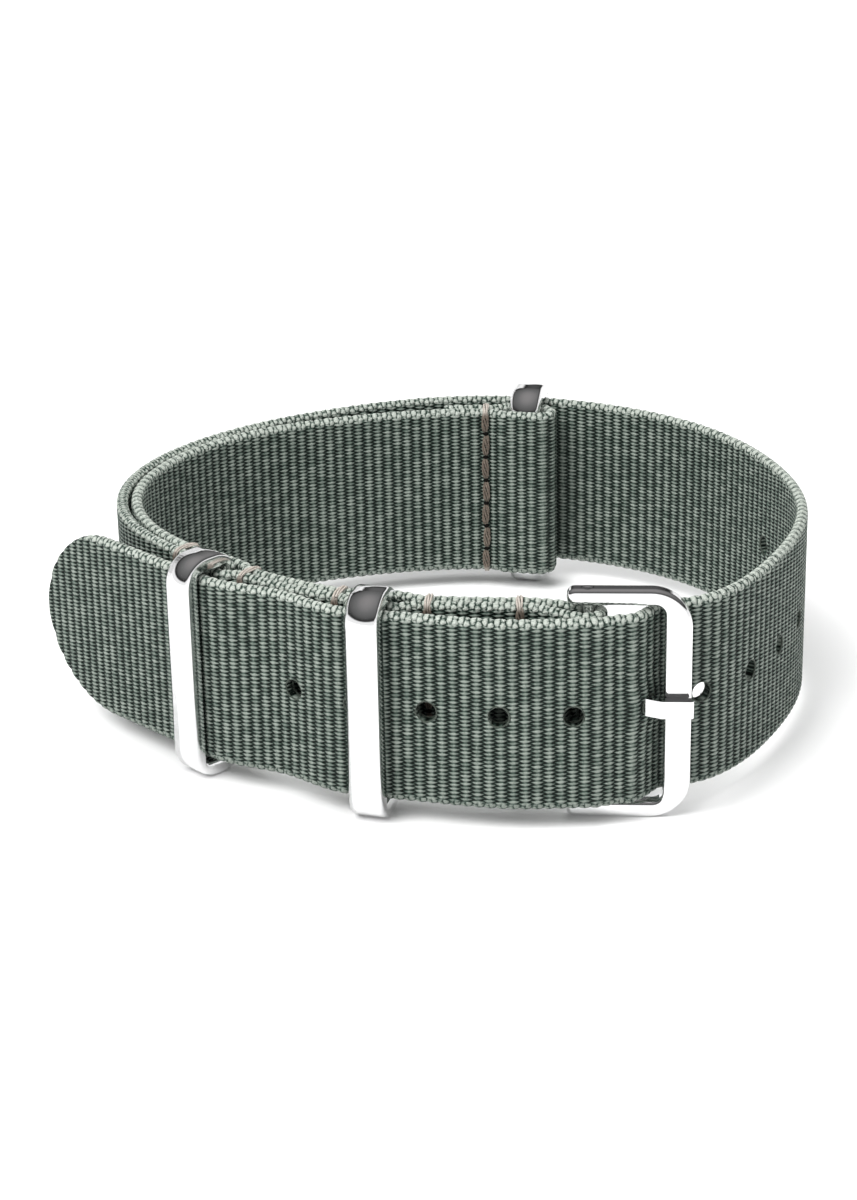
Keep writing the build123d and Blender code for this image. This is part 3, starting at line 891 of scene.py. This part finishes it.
class STRAP_OT_stitching(bpy.types.Operator):
    """Sews the six seams, each with a needle thread and a bobbin thread of twisted plies."""

    bl_idname = "strap.stitching"
    bl_label = "Sew the seams"

    def execute(self, context):
        sizes, colours = context.scene.strap_sizes, context.scene.strap_colours
        material = thread_material(sizes, colours)
        hole_shades = []
        for index, (seam, reach, offset) in enumerate(SEAMS):
            middle = np.array([*beside(reach, offset) + SHIFT, MID_HEIGHT])
            normal = np.array([*outward(tangent(reach)), 0.0])
            for kind, side in (("needle", -1), ("bobbin", 1)):
                parts = self.stitches(sizes, middle, normal, side, index)
                if kind == "needle":
                    parts += self.edge_wraps(sizes, middle, normal, index)
                points, faces = joined(parts)
                node = f"{seam}_{kind}_thread"
                new_piece(f"{node}_plies", points * MM, faces, "strap", [node], material)
                hole_shades += self.needle_hole_shades(sizes, middle, normal, side)
        # The needle holes' discs are painted shade, not a colour of the webbing or thread.
        points, faces = joined(hole_shades)
        new_piece("needle_hole_shades", points * MM, faces, "strap", [], needle_hole_shade_material())
        return {"FINISHED"}

    def stitches(self, sizes, middle, normal, side, index):
        """One face's stitches, each bowed out of the webbing and dipping in at both ends."""
        half_width = sizes.web_width / MM / 2
        pitch = 2 * half_width / sizes.stitch_count
        radius = sizes.strand_radius / MM
        share = np.linspace(0, 1, STITCH_POINTS)
        parts = []
        for k in range(sizes.stitch_count):
            upward = -half_width + pitch * (k + STITCH_START_SHARE + STITCH_RUN_SHARE * share)
            bow = np.minimum(1, STITCH_SLOPE * np.minimum(share, 1 - share))
            out = SEWN_FACE - STITCH_DIP + (STITCH_DIP + radius) * np.sqrt(bow)
            lean = STITCH_LEAN * np.sin(LEAN_PHASE * k + index) * (share - 0.5)
            lean = lean + STITCH_SHIFT * np.sin(SHIFT_PHASE * k + index)
            path = middle + side * normal * out[:, None]
            path = path + UP * upward[:, None]
            path = path + np.cross(normal, UP) * lean[:, None]
            start = TURN_PHASE * k + index
            parts += bundle(path, normal, STITCH_STRANDS, STITCH_HALF_WIDTH, radius, STITCH_TURNS, start)
        return parts

    def edge_wraps(self, sizes, middle, normal, index):
        """The thread's turns over the webbing's two edges, across both layers."""
        half_width = sizes.web_width / MM / 2
        radius = sizes.strand_radius / MM
        angle = np.linspace(0, pi, WRAP_POINTS)
        parts = []
        for end in (-1, 1):
            out = (SEWN_FACE + radius) * np.cos(angle)
            rise = half_width - WRAP_START + WRAP_RISE * np.sin(angle) ** WRAP_SQUARENESS
            path = middle + normal * out[:, None] + UP * (end * rise)[:, None]
            parts += bundle(path, UP, WRAP_STRANDS, WRAP_HALF_WIDTH, radius, WRAP_TURNS, index + end)
        return parts

    def needle_hole_shades(self, sizes, middle, normal, side):
        """Flat near-black discs between the stitches of one face, painted shade at the needle holes."""
        half_width = sizes.web_width / MM / 2
        pitch = 2 * half_width / sizes.stitch_count
        along = np.cross(normal, UP)
        parts = []
        for k in range(1, sizes.stitch_count):
            upward = np.array([0, 0, pitch * k - half_width])
            pit = middle + upward + side * normal * (SEWN_FACE - PIT_DEPTH)
            parts.append(tube([pit + along * reach for reach in PIT_REACHES], PIT_RADII))
        return parts


class STRAP_OT_hole_rims(bpy.types.Operator):
    """Lays the sealed, slightly ragged rim round every hole of the tail."""

    bl_idname = "strap.hole_rims"
    bl_label = "Seal the holes"

    def execute(self, context):
        sizes, colours = context.scene.strap_sizes, context.scene.strap_colours
        points, way, along = resampled(LINE, LOOP_STEP)
        random = np.random.default_rng(RAGGED_SEED)
        parts = []
        for place, lean in hole_places(points, along):
            index = int(np.searchsorted(along, place))
            centre, ahead = points[index], way[index]
            for side in (1, -1):
                parts.append(self.rim(sizes, centre - side * lean * ahead, ahead, side, random))
            if not lean:
                parts += self.fibres(sizes, centre, ahead, random)
        rims, faces = joined(parts)
        new_piece("hole_rims", rims * MM, faces, "strap", [], melted_material(colours))
        return {"FINISHED"}

    def rim(self, sizes, centre, ahead, side, random):
        """One rim, closed on itself."""
        normal = outward(ahead)
        angles = np.linspace(0, 2 * pi, RIM_POINTS, endpoint=False)
        radius = sizes.hole_diameter / MM / 2
        ragged = np.convolve(random.random(RIM_POINTS + 2), np.ones(3) / 3, "valid") - 0.5
        wide = radius - RIM_INSET + RIM_RAGGED * ragged
        out = side * (HALF_WEB - RIM_SINK + RIM_WAVE * ragged)
        plan = centre + SHIFT + ahead * (wide * np.cos(angles))[:, None] + normal * out[:, None]
        path = np.column_stack([plan, MID_HEIGHT + wide * np.sin(angles)])
        thick = RIM_RADIUS + RIM_WAVE * ragged
        flat = np.column_stack([np.outer(np.cos(angles), ahead), np.sin(angles)])
        ring = ring_ways(flat, np.array([[*normal, 0.0]]), RIM_SIDES)
        points = (path[:, None] + ring * thick[:, None, None]).reshape(-1, 3)
        index = np.arange(len(points)).reshape(len(path), -1)
        turned, onward = np.roll(index, -1, axis=1), np.roll(index, -1, axis=0)
        corner = np.roll(onward, -1, axis=1)
        return points, np.stack([index, onward, corner, turned], axis=-1).reshape(-1, 4)

    def fibres(self, sizes, centre, ahead, random):
        """Short yarn ends that stand into a hole from its wall."""
        normal = np.array([*outward(ahead), 0.0])
        across = np.array([*ahead, 0.0])
        middle = np.array([*centre + SHIFT, MID_HEIGHT])
        radius = sizes.hole_diameter / MM / 2
        parts = []
        for _ in range(FIBRES_PER_HOLE):
            angle, depth = random.uniform(0, 2 * pi), random.uniform(*FIBRE_DEPTHS)
            reach, swing = random.uniform(*FIBRE_REACHES), random.uniform(*FIBRE_SWINGS)
            share = np.linspace(0, 1, FIBRE_POINTS)
            far = (radius + FIBRE_ROOT - (reach + FIBRE_ROOT) * share)[:, None]
            turn = (angle + swing * share)[:, None]
            path = middle + across * np.cos(turn) * far + UP * np.sin(turn) * far
            path = path + normal * (depth + FIBRE_RISE * share**2)[:, None]
            parts.append(tube(path, FIBRE_RADIUS - FIBRE_TAPER * share, FIBRE_SIDES))
        return parts


STEEL_NODES = ("buckle_frame", "buckle_pin", "buckle_tongue")
BAND_NODES = {"front_keeper": POCKETS[0][2], "side_keeper": POCKETS[1][2], "rear_ring": REAR_RING}
BAND_DOME = 0.23
STEEL_ROUGHNESS, ROUGHNESS_CHANGE = 0.06, 0.06


class STRAP_OT_steel(bpy.types.Operator):
    """Polishes the buckle and the rings."""

    bl_idname = "strap.steel"
    bl_label = "Polish the steel"

    def execute(self, context):
        colours = context.scene.strap_colours
        plain = steel_material(colours, "Polished steel")
        for name in STEEL_NODES:
            self.dress(name, plain)
        for name, reach in BAND_NODES.items():
            way = tangent(reach)
            middle = float((spot(reach) + SHIFT) @ way) * MM
            self.dress(name, steel_material(colours, f"Polished {name}", way, middle))
        return {"FINISHED"}

    def dress(self, name, material):
        """Gives one node of the solid model its material."""
        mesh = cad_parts[name].data
        mesh.materials.clear()
        mesh.materials.append(material)


# The camera: its tilt is in degrees, its roll in radians, its sensor in mm and its places in metres
FOCAL_PIXELS = 2798.8
IMAGE_HEIGHT = 1200
SENSOR = 36.0
CAMERA_TILT = 22.3
CAMERA_ROLL = -0.0193
CAMERA_DISTANCE = 0.29742
TARGET = (0.00012, -0.004943, 0.0121)

FLOOR_HALF_SIDE = 0.5
SKY_STRENGTH = 0.55
# The greys that polished metal mirrors, from 0 at the horizon and below it to 1 straight above
MIRRORED_BANDS = ((0.14, 1.0), (0.2, 0.02), (0.26, 0.03), (0.42, 0.11), (0.7, 0.17))
MIRRORED_BELOW, MIRRORED_ABOVE = (1, 1, 1, 1), (0.28, 0.27, 0.27, 1)
# Each lamp's name, place, target, side in metres and power in watts
LAMPS = (
    ("Key", (-0.45, -0.42, 0.8), (0, 0, 0.01), 0.6, 9.0),
    ("Fill", (0.6, -0.3, 0.45), (0, 0, 0.01), 0.5, 0.4),
    ("Back", (0.1, 0.7, 0.6), (0, 0, 0.01), 0.5, 4.0),
    ("Inside", (0.0, -0.035, 0.14), (0, 0.02, 0.01), 0.1, 0.09),
)


class STRAP_OT_stage(bpy.types.Operator):
    """Sets the pale floor, the soft lights and the camera."""

    bl_idname = "strap.stage"
    bl_label = "Set the stage"

    def execute(self, context):
        scene = context.scene
        self.lay_floor(scene)
        self.light_world(scene)
        self.hang_lamps(scene)
        self.place_camera(scene)
        scene.view_settings.view_transform = "Standard"
        return {"FINISHED"}

    def lay_floor(self, scene):
        """A plain pale floor that keeps the strap's shadow."""
        side = FLOOR_HALF_SIDE
        mesh = bpy.data.meshes.new("studio_floor")
        corners = [(-side, -side, 0), (side, -side, 0), (side, side, 0), (-side, side, 0)]
        mesh.from_pydata(corners, [], [(0, 1, 2, 3)])
        floor = bpy.data.objects.new("studio_floor", mesh)
        scene.collection.objects.link(floor)
        material, tree, shader = new_material("Studio floor", roughness=0.9, specular=0.1)
        patches = noise(tree, scale=0.6)
        colour = scene.strap_colours.floor
        tree.links.new(mixed(tree, patches, toned(colour, 0.995), colour), shader.inputs["Base Color"])
        mesh.materials.append(material)

    def light_world(self, scene):
        """A sky that is white to the camera, soft on the webbing and banded in polished metal."""
        world = bpy.data.worlds.new("Studio")
        world.use_nodes = True
        scene.world = world
        tree = world.node_tree
        tree.nodes.clear()
        output = tree.nodes.new("ShaderNodeOutputWorld")
        seen, soft, mirrored = (tree.nodes.new("ShaderNodeBackground") for _ in range(3))
        for plain in (seen, soft):
            plain.inputs["Color"].default_value = (1, 1, 1, 1)
        soft.inputs["Strength"].default_value = SKY_STRENGTH
        tree.links.new(self.mirrored_bands(tree), mirrored.inputs["Color"])
        path = tree.nodes.new("ShaderNodeLightPath")
        for_metal = self.either(tree, path.outputs["Is Glossy Ray"], soft.outputs[0], mirrored.outputs[0])
        for_all = self.either(tree, path.outputs["Is Camera Ray"], for_metal, seen.outputs[0])
        tree.links.new(for_all, output.inputs["Surface"])

    def mirrored_bands(self, tree):
        """The greys that polished metal mirrors, by height in the sky."""
        place = tree.nodes.new("ShaderNodeTexCoord")
        parts = tree.nodes.new("ShaderNodeSeparateXYZ")
        tree.links.new(place.outputs["Generated"], parts.inputs["Vector"])
        band = tree.nodes.new("ShaderNodeValToRGB")
        below, above = band.color_ramp.elements
        below.position, below.color = 0.0, MIRRORED_BELOW
        above.position, above.color = 1.0, MIRRORED_ABOVE
        for position, grey in MIRRORED_BANDS:
            element = band.color_ramp.elements.new(position)
            element.color = (grey, grey, grey, 1)
        tree.links.new(parts.outputs["Z"], band.inputs["Fac"])
        return band.outputs["Color"]

    def either(self, tree, share, first, second):
        """The second background for rays of one kind, and the first for all others."""
        mix = tree.nodes.new("ShaderNodeMixShader")
        tree.links.new(share, mix.inputs["Fac"])
        tree.links.new(first, mix.inputs[1])
        tree.links.new(second, mix.inputs[2])
        return mix.outputs["Shader"]

    def hang_lamps(self, scene):
        """A large soft key from the left, a weak fill, a back light and a small lamp into the loop."""
        for name, place, target, side, power in LAMPS:
            data = bpy.data.lights.new(name, "AREA")
            data.size = side
            data.energy = power
            lamp = bpy.data.objects.new(name, data)
            lamp.location = place
            aim = Vector(place) - Vector(target)
            lamp.rotation_euler = aim.to_track_quat("Z", "Y").to_euler()
            lamp.visible_glossy = False
            lamp.visible_camera = False
            scene.collection.objects.link(lamp)

    def place_camera(self, scene):
        """The camera, fitted to the picture's angle and lens."""
        data = bpy.data.cameras.new("Camera")
        data.lens = FOCAL_PIXELS / IMAGE_HEIGHT * SENSOR
        data.sensor_width = SENSOR
        data.clip_start = 0.01
        data.clip_end = 20
        camera = bpy.data.objects.new("Camera", data)
        tilt = radians(CAMERA_TILT)
        ahead = Vector((0, cos(tilt), -sin(tilt)))
        upright = Vector((1, 0, 0)).cross(ahead)
        turn = (cos(CAMERA_ROLL), sin(CAMERA_ROLL))
        right = Vector((1, 0, 0)) * turn[0] + upright * turn[1]
        up = Vector((-1, 0, 0)) * turn[1] + upright * turn[0]
        axes = Matrix((right, up, -ahead)).transposed().to_4x4()
        axes.translation = Vector(TARGET) - ahead * CAMERA_DISTANCE
        camera.matrix_world = axes
        scene.collection.objects.link(camera)
        bpy.context.scene.camera = camera


class STRAP_PT_panel(bpy.types.Panel):
    """Lists the steps that dress the strap."""

    bl_idname = "STRAP_PT_panel"
    bl_label = "Woven watch strap"
    bl_space_type = "VIEW_3D"
    bl_region_type = "UI"
    bl_category = "Strap"

    def draw(self, context):
        for operator in OPERATORS:
            self.layout.operator(operator.bl_idname)


OPERATORS = (STRAP_OT_webbing, STRAP_OT_hole_rims, STRAP_OT_stitching, STRAP_OT_steel, STRAP_OT_stage)
CLASSES = (StrapSizes, StrapColours, *OPERATORS, STRAP_PT_panel)


def register():
    for kind in CLASSES:
        bpy.utils.register_class(kind)
    bpy.types.Scene.strap_sizes = bpy.props.PointerProperty(type=StrapSizes)
    bpy.types.Scene.strap_colours = bpy.props.PointerProperty(type=StrapColours)


def unregister():
    del bpy.types.Scene.strap_colours
    del bpy.types.Scene.strap_sizes
    for kind in reversed(CLASSES):
        bpy.utils.unregister_class(kind)


def main():
    """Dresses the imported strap."""
    register()
    bpy.ops.strap.webbing()
    bpy.ops.strap.hole_rims()
    bpy.ops.strap.stitching()
    bpy.ops.strap.steel()
    bpy.ops.strap.stage()


if __name__ == "__main__":
    main()
